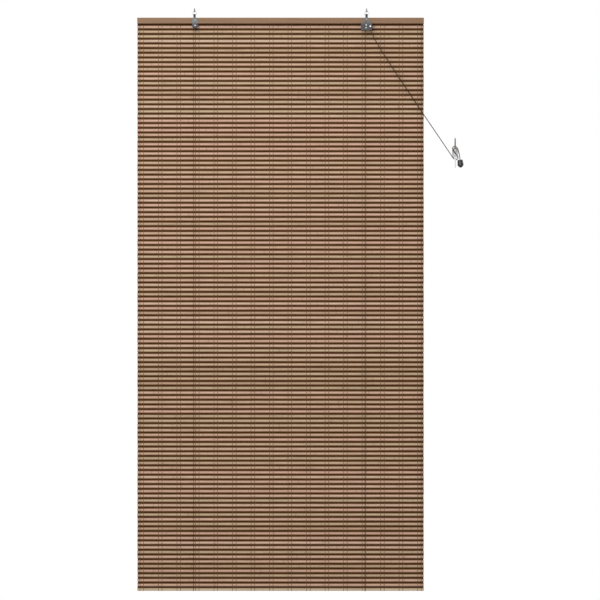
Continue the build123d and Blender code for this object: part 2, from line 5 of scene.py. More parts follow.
import bpy
import numpy as np
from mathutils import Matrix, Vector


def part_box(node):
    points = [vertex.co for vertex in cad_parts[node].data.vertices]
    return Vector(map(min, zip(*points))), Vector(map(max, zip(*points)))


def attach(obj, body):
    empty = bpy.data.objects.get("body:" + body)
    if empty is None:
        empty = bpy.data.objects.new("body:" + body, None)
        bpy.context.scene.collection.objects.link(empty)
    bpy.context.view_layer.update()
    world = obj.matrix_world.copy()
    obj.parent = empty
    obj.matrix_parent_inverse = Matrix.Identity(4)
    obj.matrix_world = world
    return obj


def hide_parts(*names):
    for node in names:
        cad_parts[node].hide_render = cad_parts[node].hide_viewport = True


bl_info = {
    "name": "Bamboo Roll Up Blind",
    "version": (1, 0, 0),
    "blender": (4, 5, 0),
    "location": "View3D > Sidebar > Blind",
    "description": "Slats, threads, cords, metal parts and stage of a bamboo roll up blind",
    "category": "Object",
}

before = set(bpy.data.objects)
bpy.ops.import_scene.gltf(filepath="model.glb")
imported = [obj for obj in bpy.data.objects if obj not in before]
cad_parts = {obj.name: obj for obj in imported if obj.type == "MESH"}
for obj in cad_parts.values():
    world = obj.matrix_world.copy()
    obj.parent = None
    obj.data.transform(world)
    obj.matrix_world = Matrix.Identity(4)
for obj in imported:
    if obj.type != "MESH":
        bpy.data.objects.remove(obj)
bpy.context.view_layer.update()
MILLIMETRE = 0.001

# Places that follow from the solids
MAT_LOW, MAT_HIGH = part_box("blind_mat")
BAR_LOW, BAR_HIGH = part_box("bottom_bar")
RAIL_LOW, RAIL_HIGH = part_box("head_rail")
MAT_Y = (MAT_LOW[1] + MAT_HIGH[1]) / 2

# Route of the pull cord, the same points as in the part's source, with the first one moved and three more
# added on the long run, where the photograph shows the cord sag a little to the left
PULL_ROUTE = [
    (0.2585, -0.0030, -0.0689),
    (0.2662, -0.0019, -0.0862),
    (0.3206, 0.0033, -0.1705),
    (0.3908, 0.0098, -0.2752),
    (0.4732, 0.0173, -0.3961),
    (0.4819, 0.0182, -0.4096),
    (0.4872, 0.0214, -0.4138),
    (0.4924, 0.0204, -0.4134),
    (0.4964, 0.0152, -0.4092),
    (0.4930, 0.0112, -0.4024),
    (0.4818, 0.0114, -0.3882),
    (0.4796, 0.0158, -0.3802),
    (0.4832, 0.0208, -0.3768),
    (0.4890, 0.0208, -0.3766),
    (0.4938, 0.0158, -0.3806),
    (0.4968, 0.0126, -0.3904),
    (0.4998, 0.0129, -0.4022),
    (0.5010, 0.0130, -0.4140),
]

STEEL_NODES = [
    "left_bracket",
    "right_bracket",
    "left_sheave",
    "guide_sheave_back",
    "guide_sheave_front",
    "lock_roller",
    "lock_bar",
    "mat_staples",
    "cord_staples",
]
RIVET_NODES = ["left_axle", "guide_axle", "frame_rivet", "lock_pin", "bracket_screws", "cleat_screws"]


def linear(hex_colour):
    """sRGB hex to linear RGBA: below 0.04045 divide by 12.92, above it raise (c + 0.055) / 1.055 to 2.4."""
    channels = [int(hex_colour[i : i + 2], 16) / 255 for i in (1, 3, 5)]
    return tuple(c / 12.92 if c <= 0.04045 else ((c + 0.055) / 1.055) ** 2.4 for c in channels) + (1.0,)


def add_node(material, kind, inputs=None, **settings):
    """Adds a node, sets its properties, and fills or links its inputs by name or number."""
    tree = material.node_tree
    node = tree.nodes.new(kind)
    for name, value in settings.items():
        setattr(node, name, value)
    for key, value in (inputs or {}).items():
        if isinstance(value, bpy.types.NodeSocket):
            tree.links.new(value, node.inputs[key])
        else:
            node.inputs[key].default_value = value
    return node


def new_material(name):
    """An empty node material and its output node."""
    material = bpy.data.materials.new(name)
    material.use_nodes = True
    material.node_tree.nodes.clear()
    return material, add_node(material, "ShaderNodeOutputMaterial")


def finish_material(material, output, shader):
    """Links the shader to the output."""
    material.node_tree.links.new(shader.outputs[0], output.inputs["Surface"])
    return material


# Meshes


def grid_faces(copies, rows, columns):
    """Quads of tubes with closed rings: ring r, point c joins ring r + 1, point c + 1, for each copy."""
    ring = np.arange(rows - 1)[:, None] * columns
    here = np.arange(columns)[None, :]
    after = (here + 1) % columns
    quads = np.stack([ring + here, ring + after, ring + columns + after, ring + columns + here], -1)
    start = np.arange(copies)[:, None, None] * rows * columns
    return (quads.reshape(1, -1, 4) + start).reshape(-1, 4)


def end_faces(copies, rows, columns):
    """A flat face on the first and the last ring of each copy."""
    first = np.arange(columns)[::-1]
    last = np.arange(columns) + (rows - 1) * columns
    start = np.arange(copies)[:, None] * rows * columns
    return np.concatenate([first[None, :] + start, last[None, :] + start])


def signed_volume(points, quads):
    """Sum of the signed tetrahedra between the origin and each quad's two triangles."""
    a, b, c, d = (points[quads[:, i]] for i in range(4))
    return (np.einsum("ij,ij->i", a, np.cross(b, c)) + np.einsum("ij,ij->i", a, np.cross(c, d))).sum()


def add_tubes(name, grids, material, smooth=True, closed_path=False):
    """Puts arrays of shape (copies, rings, points, 3) into one mesh, with faces pointing outwards."""
    points, polygons, offset = [], [], 0
    for grid in grids:
        copies, rows, columns, _ = grid.shape
        flat = grid.reshape(-1, 3)
        quads = grid_faces(copies, rows, columns)
        caps = end_faces(copies, rows, columns)
        if signed_volume(flat - flat.mean(0), quads) < 0:
            quads, caps = quads[:, ::-1], caps[:, ::-1]
        points.append(flat)
        polygons.append(quads + offset)
        if not closed_path:
            polygons.append(caps + offset)
        else:
            last = np.arange(columns) + (rows - 1) * columns
            seam = np.stack([last, np.roll(last, -1), np.roll(np.arange(columns), -1), np.arange(columns)], -1)
            polygons.append(seam + offset)
        offset += len(flat)
    mesh = bpy.data.meshes.new(name)
    points = np.concatenate(points)
    mesh.vertices.add(len(points))
    mesh.vertices.foreach_set("co", points.astype(np.float32).ravel())
    sizes = np.concatenate([np.full(len(p), p.shape[1]) for p in polygons])
    mesh.loops.add(int(sizes.sum()))
    mesh.loops.foreach_set("vertex_index", np.concatenate([p.ravel() for p in polygons]).astype(np.int32))
    mesh.polygons.add(len(sizes))
    starts = np.concatenate([[0], np.cumsum(sizes)[:-1]])
    mesh.polygons.foreach_set("loop_start", starts.astype(np.int32))
    mesh.polygons.foreach_set("use_smooth", np.full(len(sizes), smooth))
    mesh.update(calc_edges=True)
    mesh.validate()
    mesh.materials.append(material)
    piece = bpy.data.objects.new(name, mesh)
    bpy.context.scene.collection.objects.link(piece)
    return piece


def frames_along(path, reference):
    """Tangent, side and up of each point: side = tangent x reference, up = tangent x side, all of length 1.

    The reference is a direction that the path never takes.
    """
    tangent = np.gradient(path, axis=0)
    tangent /= np.linalg.norm(tangent, axis=1, keepdims=True)
    side = np.cross(tangent, reference)
    side /= np.linalg.norm(side, axis=1, keepdims=True)
    return tangent, side, np.cross(tangent, side)


def run_along(path):
    """Length of the path up to each of its points."""
    return np.concatenate([[0.0], np.cumsum(np.linalg.norm(np.diff(path, axis=0), axis=1))])


def laid_tube(path, reference, radius, points_round, lay, strands=3, dent=0.22):
    """Ring i, angle a: path + r(a) (cos b side + sin b up), r = radius (1 - dent (1 - |cos(strands a / 2)|)).

    b = a + 2 pi run / lay, so the dents between the strands turn once in each length lay.
    """
    path = np.asarray(path, float)
    _, side, up = frames_along(path, reference)
    angle = np.linspace(0, 2 * np.pi, points_round, endpoint=False)[None, :]
    turned = angle + (2 * np.pi * run_along(path) / lay)[:, None]
    size = (radius * (1 - dent * (1 - np.abs(np.cos(strands * angle / 2)))))[..., None]
    ring = size * (np.cos(turned)[..., None] * side[:, None] + np.sin(turned)[..., None] * up[:, None])
    return (path[:, None] + ring)[None]


def line(start, end, step):
    """Points from start to end, about one step apart, without the end itself."""
    start, end = np.asarray(start, float), np.asarray(end, float)
    count = max(2, int(np.linalg.norm(end - start) / step))
    share = np.linspace(0, 1, count, endpoint=False)[:, None]
    return start + (end - start) * share


def arc(centre, first, second, radius, start, end, step):
    """centre + radius (cos t first + sin t second) for t from start to end, in degrees, without the end."""
    count = max(3, int(math.radians(abs(end - start)) * radius / step))
    t = np.radians(np.linspace(start, end, count, endpoint=False))[:, None]
    return np.asarray(centre) + radius * (np.cos(t) * np.asarray(first) + np.sin(t) * np.asarray(second))


def wavy(random, copies, x, size, lengths):
    """Sum of one sine for each wavelength, size sin(2 pi x / length + phase), with a phase for each copy."""
    total = np.zeros((copies, len(x)))
    for length in lengths:
        phase = random.uniform(0, 2 * np.pi, (copies, 1))
        stretch = random.uniform(0.8, 1.25, (copies, 1))
        total += np.sin(2 * np.pi * x[None, :] / (length * stretch) + phase)
    return size * total / math.sqrt(len(lengths))


# Materials


def split_bamboo(sizes, colours):
    """Split bamboo, stained and left dull: warm tan, each slat a little different, with grain along it and painted
    shade along its edges.
    """
    material, output = new_material("split_bamboo")
    place = add_node(material, "ShaderNodeTexCoord").outputs["Object"]
    split = add_node(material, "ShaderNodeSeparateXYZ", {0: place})
    top = MAT_HIGH[2] + sizes.slat_gap / 2
    down = add_node(material, "ShaderNodeMath", {0: top, 1: split.outputs["Z"]}, operation="SUBTRACT")
    rows = add_node(material, "ShaderNodeMath", {0: down.outputs[0], 1: sizes.row_pitch}, operation="DIVIDE")
    row = add_node(material, "ShaderNodeMath", {0: rows.outputs[0]}, operation="FLOOR")
    phase = add_node(material, "ShaderNodeMath", {0: rows.outputs[0]}, operation="FRACT")
    chance = add_node(material, "ShaderNodeTexWhiteNoise", {"W": row.outputs[0]}, noise_dimensions="1D")
    tone = add_node(material, "ShaderNodeValToRGB", {0: chance.outputs["Value"]})
    ramp = tone.color_ramp
    ramp.elements[0].position, ramp.elements[0].color = 0.0, colours.slat_light
    ramp.elements[1].position, ramp.elements[1].color = 1.0, colours.slat_dark
    for position, colour in ((0.3, colours.slat_pink), (0.55, colours.slat_main), (0.8, colours.slat_green)):
        ramp.elements.new(position).color = colour
    # the grain starts at another place in each slat
    shift = add_node(material, "ShaderNodeMath", {0: row.outputs[0], 1: 7.31}, operation="MULTIPLY")
    moved = add_node(material, "ShaderNodeCombineXYZ", {"X": shift.outputs[0], "Y": shift.outputs[0]})
    grain_place = add_node(material, "ShaderNodeVectorMath", {0: place, 1: moved.outputs[0]}, operation="ADD")
    # long soft patches of about 60 mm by 5 mm
    patch_scale = add_node(
        material, "ShaderNodeMapping", {"Vector": grain_place.outputs[0], "Scale": (16.0, 120.0, 200.0)}
    )
    patch = add_node(material, "ShaderNodeTexNoise", {"Vector": patch_scale.outputs[0], "Scale": 1.0, "Detail": 3.0})
    # fibres 0.6 mm wide and some 40 mm long
    fibre_scale = add_node(
        material, "ShaderNodeMapping", {"Vector": grain_place.outputs[0], "Scale": (25.0, 900.0, 1600.0)}
    )
    fibre = add_node(material, "ShaderNodeTexNoise", {"Vector": fibre_scale.outputs[0], "Scale": 1.0, "Detail": 2.0})
    patch_tone = add_node(
        material,
        "ShaderNodeMapRange",
        {"Value": patch.outputs[0], "From Min": 0.3, "From Max": 0.7, "To Min": 0.90, "To Max": 1.06},
    )
    fibre_tone = add_node(
        material,
        "ShaderNodeMapRange",
        {"Value": fibre.outputs[0], "From Min": 0.3, "From Max": 0.7, "To Min": 0.80, "To Max": 1.10},
    )
    streaks = add_node(
        material, "ShaderNodeMath", {0: patch_tone.outputs[0], 1: fibre_tone.outputs[0]}, operation="MULTIPLY"
    )
    # joints of the cane: a darker ring 4 mm wide every 0.3 m, at another place in each slat
    start = add_node(material, "ShaderNodeMath", {0: chance.outputs["Value"], 1: 17.0}, operation="MULTIPLY")
    along = add_node(material, "ShaderNodeMath", {0: split.outputs["X"], 1: 0.3}, operation="DIVIDE")
    moved_along = add_node(material, "ShaderNodeMath", {0: along.outputs[0], 1: start.outputs[0]}, operation="ADD")
    in_length = add_node(material, "ShaderNodeMath", {0: moved_along.outputs[0]}, operation="FRACT")
    from_ring = add_node(material, "ShaderNodeMath", {0: in_length.outputs[0], 1: 0.5}, operation="SUBTRACT")
    distance = add_node(material, "ShaderNodeMath", {0: from_ring.outputs[0]}, operation="ABSOLUTE")
    ring = add_node(
        material,
        "ShaderNodeMapRange",
        {"Value": distance.outputs[0], "From Max": 0.007, "To Min": 0.72},
        interpolation_type="SMOOTHSTEP",
    )
    value = add_node(material, "ShaderNodeMath", {0: streaks.outputs[0], 1: ring.outputs[0]}, operation="MULTIPLY")
    # painted shade along both edges of a slat, where its round face turns from the light beside the dark gaps, more
    # at the lower one
    edge = add_node(material, "ShaderNodeValToRGB", {0: phase.outputs[0]})
    shade_ramp = edge.color_ramp
    shade_ramp.elements[0].position, shade_ramp.elements[0].color = 0.15, colours.painted_shade_top
    shade_ramp.elements[1].position, shade_ramp.elements[1].color = 0.86, colours.painted_shade_bottom
    for position, shade in ((0.24, (0.46, 0.39, 0.33)), (0.35, (0.81, 0.78, 0.76)), (0.44, (1, 1, 1))):
        shade_ramp.elements.new(position).color = (*shade, 1)
    for position, shade in ((0.54, (1, 1, 1)), (0.63, (0.82, 0.79, 0.76)), (0.75, (0.60, 0.53, 0.48))):
        shade_ramp.elements.new(position).color = (*shade, 1)
    colour = add_node(
        material,
        "ShaderNodeMix",
        {0: 1.0, 6: tone.outputs[0], 7: edge.outputs[0]},
        data_type="RGBA",
        blend_type="MULTIPLY",
    )
    # the tone with its painted edge shade, darkened by the grain and the cane joints
    texture_and_painted_light = add_node(
        material, "ShaderNodeHueSaturation", {"Color": colour.outputs[2], "Value": value.outputs[0]}
    )
    bump = add_node(
        material, "ShaderNodeBump", {"Height": fibre.outputs[0], "Strength": 0.35, "Distance": 0.0002}
    )
    shader = add_node(
        material,
        "ShaderNodeBsdfPrincipled",
        {
            "Base Color": texture_and_painted_light.outputs[0],
            "Roughness": 0.6,
            "IOR": 1.5,
            "Specular IOR Level": 0.06,
            "Normal": bump.outputs[0],
        },
    )
    return finish_material(material, output, shader)


def grained(name, light, dark, along, across, roughness, bump_size, gloss=0.3):
    """Noise stretched along X between two colours, along and across being the grain's size in metres."""
    material, output = new_material(name)
    place = add_node(material, "ShaderNodeTexCoord").outputs["Object"]
    scaled = add_node(
        material, "ShaderNodeMapping", {"Vector": place, "Scale": (1 / along, 1 / across, 1 / across)}
    )
    noise = add_node(material, "ShaderNodeTexNoise", {"Vector": scaled.outputs[0], "Scale": 1.0, "Detail": 4.0})
    tone = add_node(material, "ShaderNodeValToRGB", {0: noise.outputs[0]})
    tone.color_ramp.elements[0].position, tone.color_ramp.elements[0].color = 0.3, dark
    tone.color_ramp.elements[1].position, tone.color_ramp.elements[1].color = 0.7, light
    bump = add_node(
        material, "ShaderNodeBump", {"Height": noise.outputs[0], "Strength": 0.4, "Distance": bump_size}
    )
    shader = add_node(
        material,
        "ShaderNodeBsdfPrincipled",
        {
            "Base Color": tone.outputs[0],
            "Roughness": roughness,
            "IOR": 1.5,
            "Specular IOR Level": gloss,
            "Normal": bump.outputs[0],
        },
    )
    return finish_material(material, output, shader)


def stained_stick(colours):
    """Thin split sticks dipped in dark brown stain: nearly black in the gaps between the slats."""
    return grained(
        "stained_stick", colours.stick_light, colours.stick_dark, 0.05, 0.0008, 0.7, 0.0001, gloss=0.02
    )


def cotton_thread(colours):
    """Brown cotton twine: matt, with a fine lighter and darker twist."""
    return grained(
        "cotton_thread", colours.thread_light, colours.thread_dark, 0.0006, 0.0006, 0.9, 0.00005, gloss=0.0
    )


def braided_cord(colours):
    """Brown polyester cord: softly shining fibres laid in strands."""
    return grained(
        "polyester_cord", colours.cord_light, colours.cord_dark, 0.0007, 0.0007, 0.75, 0.00005, gloss=0.06
    )


def rail_wood(colours):
    """Planed softwood batten with a brown stain: long straight grain 2 mm wide."""
    return grained("stained_batten", colours.rail_light, colours.rail_dark, 0.12, 0.0022, 0.5, 0.0001)


def bottom_wood(colours):
    """Pale bamboo lath with its skin left on: greyer and smoother than the slats, with painted shade along its upper
    edge below the gap.
    """
    material = grained("pale_bamboo_lath", colours.bar_light, colours.bar_dark, 0.08, 0.0015, 0.45, 0.00008)
    shader = next(node for node in material.node_tree.nodes if node.type == "BSDF_PRINCIPLED")
    place = add_node(material, "ShaderNodeTexCoord").outputs["Object"]
    split = add_node(material, "ShaderNodeSeparateXYZ", {0: place})
    top = BAR_HIGH[2]
    # painted shade: the upper 2.5 mm darken towards the bar's top edge, under the gap above it
    stain = add_node(
        material,
        "ShaderNodeMapRange",
        {"Value": split.outputs["Z"], "From Min": top - 0.0025, "From Max": top, "To Min": 1.0, "To Max": 0.3},
        interpolation_type="SMOOTHSTEP",
    )
    tone = shader.inputs["Base Color"].links[0].from_socket
    # the bar's grain with the painted shade on its upper edge
    stained = add_node(material, "ShaderNodeHueSaturation", {"Color": tone, "Value": stain.outputs[0]})
    material.node_tree.links.new(stained.outputs[0], shader.inputs["Base Color"])
    return material


def metal(name, light, dark, low_gloss, high_gloss, grain):
    """Metal whose colour and roughness vary with a noise of the given grain size in metres."""
    material, output = new_material(name)
    place = add_node(material, "ShaderNodeTexCoord").outputs["Object"]
    noise = add_node(material, "ShaderNodeTexNoise", {"Vector": place, "Scale": 1 / grain, "Detail": 5.0})
    tone = add_node(material, "ShaderNodeValToRGB", {0: noise.outputs[0]})
    tone.color_ramp.elements[0].position, tone.color_ramp.elements[0].color = 0.35, dark
    tone.color_ramp.elements[1].position, tone.color_ramp.elements[1].color = 0.65, light
    rough = add_node(
        material,
        "ShaderNodeMapRange",
        {"Value": noise.outputs[0], "From Min": 0.3, "From Max": 0.7, "To Min": low_gloss, "To Max": high_gloss},
    )
    shader = add_node(
        material,
        "ShaderNodeBsdfPrincipled",
        {"Base Color": tone.outputs[0], "Metallic": 1.0, "Roughness": rough.outputs[0]},
    )
    return finish_material(material, output, shader)


def zinc_plated_steel(colours):
    """Stamped steel with a dull zinc coat: clouded grey, with painted shade on the bent hooks and a darker tone about
    the sheaves that is partly painted shade and partly wear.
    """
    material, output = new_material("zinc_plated_steel")
    place = add_node(material, "ShaderNodeTexCoord").outputs["Object"]
    split = add_node(material, "ShaderNodeSeparateXYZ", {0: place})
    # clouds 3 mm wide
    noise = add_node(material, "ShaderNodeTexNoise", {"Vector": place, "Scale": 1 / 0.003, "Detail": 5.0})
    # painted shade by height: darker on the hooks above the rail, and darker about the sheaves below it, there partly
    # wear
    height = add_node(
        material,
        "ShaderNodeMapRange",
        {"Value": split.outputs["Z"], "From Min": RAIL_LOW[2] - 0.012, "From Max": RAIL_HIGH[2] + 0.010},
    )
    painted_shade_and_wear = add_node(material, "ShaderNodeValToRGB", {0: height.outputs[0]})
    painted_shade_and_wear.color_ramp.elements[0].position, painted_shade_and_wear.color_ramp.elements[0].color = 0.22, colours.zinc_wear_and_shade
    painted_shade_and_wear.color_ramp.elements[1].position, painted_shade_and_wear.color_ramp.elements[1].color = 0.82, colours.zinc_painted_shade
    for position in (0.40, 0.68):
        painted_shade_and_wear.color_ramp.elements.new(position).color = colours.zinc_light
    cloud = add_node(
        material,
        "ShaderNodeMapRange",
        {"Value": noise.outputs[0], "From Min": 0.35, "From Max": 0.65, "To Min": 0.72, "To Max": 1.18},
    )
    tone = add_node(material, "ShaderNodeHueSaturation", {"Color": painted_shade_and_wear.outputs[0], "Value": cloud.outputs[0]})
    rough = add_node(
        material,
        "ShaderNodeMapRange",
        {"Value": noise.outputs[0], "From Min": 0.3, "From Max": 0.7, "To Min": 0.32, "To Max": 0.5},
    )
    shader = add_node(
        material,
        "ShaderNodeBsdfPrincipled",
        {"Base Color": tone.outputs[0], "Metallic": 1.0, "Roughness": rough.outputs[0]},
    )
    return finish_material(material, output, shader)


def drawn_wire(colours):
    """Drawn steel wire bent to an eye, zinc plated, in a lighter copy of the screw's steel: painted reflection of the
    white surroundings.
    """
    return metal("zinc_plated_wire", colours.wire_reflection_light, colours.wire_reflection_dark, 0.25, 0.35, 0.002)


def screw_steel(colours):
    """Rolled screw with a bright zinc coat, duller in the thread than the wire is and darker than the loop, whose
    lighter steel is a painted reflection.
    """
    return metal("zinc_plated_screw", colours.screw_light, colours.screw_dark, 0.3, 0.42, 0.002)


def bright_rivet_steel(colours):
    """Rolled rivets and screws with bright plating, shinier than the sheet."""
    return metal("bright_rivet_steel", colours.bright_light, colours.bright_dark, 0.18, 0.3, 0.002)


def cast_zinc(colours):
    """Die-cast zinc with nickel plating, faintly clouded, with a painted reflection: lighter below and darker towards
    the upper horn.
    """
    material, output = new_material("nickel_plated_zinc_casting")
    low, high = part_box("cleat")
    place = add_node(material, "ShaderNodeTexCoord").outputs["Object"]
    split = add_node(material, "ShaderNodeSeparateXYZ", {0: place})
    # cast texture 1.5 mm wide
    noise = add_node(material, "ShaderNodeTexNoise", {"Vector": place, "Scale": 1 / 0.0015, "Detail": 5.0})
    # painted reflection: lighter towards the foot of the cleat and darker towards its upper horn
    height = add_node(
        material, "ShaderNodeMapRange", {"Value": split.outputs["Z"], "From Min": low[2], "From Max": high[2]}
    )
    cloud = add_node(material, "ShaderNodeMath", {0: noise.outputs[0], 1: 0.3}, operation="MULTIPLY_ADD")
    cloud.inputs[2].default_value = -0.15
    # height plus the cast cloud, which places the painted reflection
    texture_and_painted_light = add_node(material, "ShaderNodeMath", {0: height.outputs[0], 1: cloud.outputs[0]}, operation="ADD")
    tone = add_node(material, "ShaderNodeValToRGB", {0: texture_and_painted_light.outputs[0]})
    tone.color_ramp.elements[0].position, tone.color_ramp.elements[0].color = 0.28, colours.cleat_reflection_light
    tone.color_ramp.elements[1].position, tone.color_ramp.elements[1].color = 0.62, colours.cleat_reflection_dark
    shader = add_node(
        material, "ShaderNodeBsdfPrincipled", {"Base Color": tone.outputs[0], "Metallic": 1.0, "Roughness": 0.32}
    )
    return finish_material(material, output, shader)


def glossy_moulding(colours):
    """Black ABS from a polished mould: glossy, with fine handling marks in its gloss."""
    material, output = new_material("black_abs_moulding")
    place = add_node(material, "ShaderNodeTexCoord").outputs["Object"]
    noise = add_node(material, "ShaderNodeTexNoise", {"Vector": place, "Scale": 600.0, "Detail": 4.0})
    tone = add_node(material, "ShaderNodeValToRGB", {0: noise.outputs[0]})
    tone.color_ramp.elements[0].color = colours.plastic_dark
    tone.color_ramp.elements[1].color = colours.plastic_light
    rough = add_node(material, "ShaderNodeMapRange", {"Value": noise.outputs[0], "To Min": 0.2, "To Max": 0.4})
    shader = add_node(
        material,
        "ShaderNodeBsdfPrincipled",
        {"Base Color": tone.outputs[0], "Roughness": rough.outputs[0], "IOR": 1.53},
    )
    return finish_material(material, output, shader)


def dress(names, material):
    """Gives CAD nodes their material."""
    for name in names:
        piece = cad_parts[name]
        piece.data.materials.clear()
        piece.data.materials.append(material)


def settle(piece, body, slot, *nodes):
    """Rides the piece on its body and hides the solids that it stands for. The slot is not used."""
    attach(piece, body)
    if nodes:
        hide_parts(*nodes)


# Settings


def length_property(name, description, metres):
    return bpy.props.FloatProperty(name=name, description=description, default=metres, precision=5, unit="LENGTH")


class BlindSizes(bpy.types.PropertyGroup):
    rows: bpy.props.IntProperty(name="Slat rows", description="Slats, the one behind the rail included", default=121)
    row_pitch: length_property("Row pitch", "From one slat to the next", (1600 - 16) / 121 * MILLIMETRE)
    slat_gap: length_property("Slat gap", "Between two slats", 0.0039)
    stick_depth: length_property("Stick depth", "Half the depth of a dark stick", 0.00175)
    stick_height: length_property("Stick height", "Half the height of a dark stick", 0.00225)
    columns: bpy.props.IntProperty(name="Thread columns", description="Pairs of warp threads", default=16)
    column_pitch: length_property("Column pitch", "Between two columns", 0.0517)
    pair: length_property("Pair", "Between the threads of a column", 0.010)
    thread_width: length_property("Thread width", "Across a warp thread", 0.0012)
    thread_depth: length_property("Thread depth", "From front to back of a warp thread", 0.0005)
    cord: length_property("Cord diameter", "Of a lift cord", 0.0013)


def colour_property(name, description, hex_colour):
    return bpy.props.FloatVectorProperty(
        name=name, description=description, size=4, subtype="COLOR", min=0, max=1, default=linear(hex_colour)
    )


class BlindColours(bpy.types.PropertyGroup):
    slat_main: colour_property("Slat", "Most slats", "#D5B59A")
    slat_light: colour_property("Light slat", "The palest slats", "#DDC1A9")
    slat_dark: colour_property("Dark slat", "The darkest slats", "#C3A388")
    slat_pink: colour_property("Pink slat", "Slats with a pink tinge", "#DAB49F")
    slat_green: colour_property("Green slat", "Slats with a green tinge", "#CEB698")
    # painted shade: factors that darken the upper and lower edges of each slat beside the gaps
    painted_shade_top: colour_property("Upper edge", "Stain at the upper edge of a slat, a factor", "#84684C")
    painted_shade_bottom: colour_property("Lower edge", "Stain at the lower edge of a slat, a factor", "#97785A")
    # painted reflection: the loops' steel is a lighter copy of the screws' steel
    wire_reflection_light: colour_property("Eye wire", "Light patches of the screw eyes' loops", "#D2D2D0")
    wire_reflection_dark: colour_property("Dark eye wire", "Dark patches of the loops", "#B0B0AE")
    screw_light: colour_property("Screw", "Light patches of the ceiling screws", "#A9AAA9")
    screw_dark: colour_property("Dark screw", "Dark patches of the ceiling screws", "#7C7D7C")
    stick_light: colour_property("Stick", "Light grain of the sticks", "#5A3818")
    stick_dark: colour_property("Dark stick", "Dark grain of the sticks", "#38200A")
    thread_light: colour_property("Thread", "Light fibres of the thread", "#8A6542")
    thread_dark: colour_property("Dark thread", "Dark fibres of the thread", "#5E4128")
    cord_light: colour_property("Cord", "Light fibres of the cord", "#564230")
    cord_dark: colour_property("Dark cord", "Dark fibres of the cord", "#35261A")
    rail_light: colour_property("Rail", "Light grain of the head rail", "#957355")
    rail_dark: colour_property("Dark rail", "Dark grain of the head rail", "#7D5F46")
    bar_light: colour_property("Bottom bar", "Light grain of the bottom bar", "#D4BE9F")
    bar_dark: colour_property("Dark bottom bar", "Dark grain of the bottom bar", "#BCA486")
    zinc_light: colour_property("Sheet steel", "Steel on the face of the rail", "#595B5A")
    # painted shade: the steel about the sheaves, partly wear, and the bent hooks above the rail
    zinc_wear_and_shade: colour_property("Worn sheet steel", "Steel about the sheaves", "#414042")
    zinc_painted_shade: colour_property("Dark sheet steel", "The bent hooks", "#373A3A")
    bright_light: colour_property("Rivets", "Light patches of the rivets", "#BFC1C0")
    bright_dark: colour_property("Dark rivets", "Dark patches of the rivets", "#9C9D9C")
    # painted reflection: the cleat lighter at its foot and darker towards its upper horn
    cleat_reflection_light: colour_property("Cleat", "Light patches of the cleat", "#D3D4D8")
    cleat_reflection_dark: colour_property("Dark cleat", "Dark patches of the cleat", "#6E6C6B")
    plastic_light: colour_property("End piece", "Light marks on the end piece", "#1C2020")
    plastic_dark: colour_property("Dark end piece", "Dark marks on the end piece", "#0B0E0E")


# Pieces


class BLIND_OT_mat(bpy.types.Operator):
    """Slats with a round face and a flat back, and oval dark sticks that fill the gaps between them.

    A slat's section is y = T/2 sgn(cos a) |cos a|^n, z = H/2 sgn(sin a) |sin a|^0.9, with n = 0.8 in front
    and 0.3 at the back. T, H and the height of its middle wave a little along x.
    """

    bl_idname = "blind.mat"
    bl_label = "Slats and sticks"

    def execute(self, context):
        sizes, colours = context.scene.blind_sizes, context.scene.blind_colours
        random = np.random.default_rng(11)
        rows = sizes.rows
        height = sizes.row_pitch - sizes.slat_gap
        thickness = MAT_HIGH[1] - MAT_LOW[1]
        middle = MAT_HIGH[2] - height / 2 - np.arange(rows) * sizes.row_pitch
        share = np.linspace(-1, 1, 44)
        x = share * MAT_HIGH[0]
        angle = np.linspace(0, 2 * np.pi, 16, endpoint=False)
        across = np.sign(np.cos(angle)) * np.abs(np.cos(angle)) ** np.where(np.cos(angle) < 0, 0.8, 0.3)
        upward = np.sign(np.sin(angle)) * np.abs(np.sin(angle)) ** 0.9
        tall = height * (1 + wavy(random, rows, x, 0.012, (0.37, 0.11)))
        thick = thickness * (0.93 + wavy(random, rows, x, 0.02, (0.41, 0.13)))
        drift = wavy(random, rows, x, 0.00009, (0.6, 0.21))
        points = np.empty((rows, len(x), len(angle), 3))
        trim = 1 - random.uniform(0, 0.0018, (rows, 1))
        points[..., 0] = (x * trim)[..., None]
        points[..., 1] = MAT_Y + thick[..., None] / 2 * across
        points[..., 2] = (middle[:, None] + drift)[..., None] + tall[..., None] / 2 * upward
        slats = add_tubes("bamboo_slats", [points], split_bamboo(sizes, colours))
        settle(slats, "frame", "bamboo", "blind_mat")

        x = np.linspace(-1, 1, 24) * MAT_HIGH[0]
        depth = sizes.stick_depth * (1 + wavy(random, rows, x, 0.02, (0.23, 0.09)))
        corner = np.linspace(0, 2 * np.pi, 8, endpoint=False)
        sticks = np.empty((rows, len(x), 8, 3))
        sticks[..., 0] = (x * (1 - random.uniform(0.0005, 0.003, (rows, 1))))[..., None]
        sticks[..., 1] = MAT_Y + depth[..., None] * np.cos(corner)
        sticks[..., 2] = (middle - sizes.row_pitch / 2)[:, None, None] + sizes.stick_height * np.sin(corner)
        thin = add_tubes("dark_sticks", [sticks], stained_stick(colours))
        settle(thin, "frame", "bamboo")
        return {"FINISHED"}


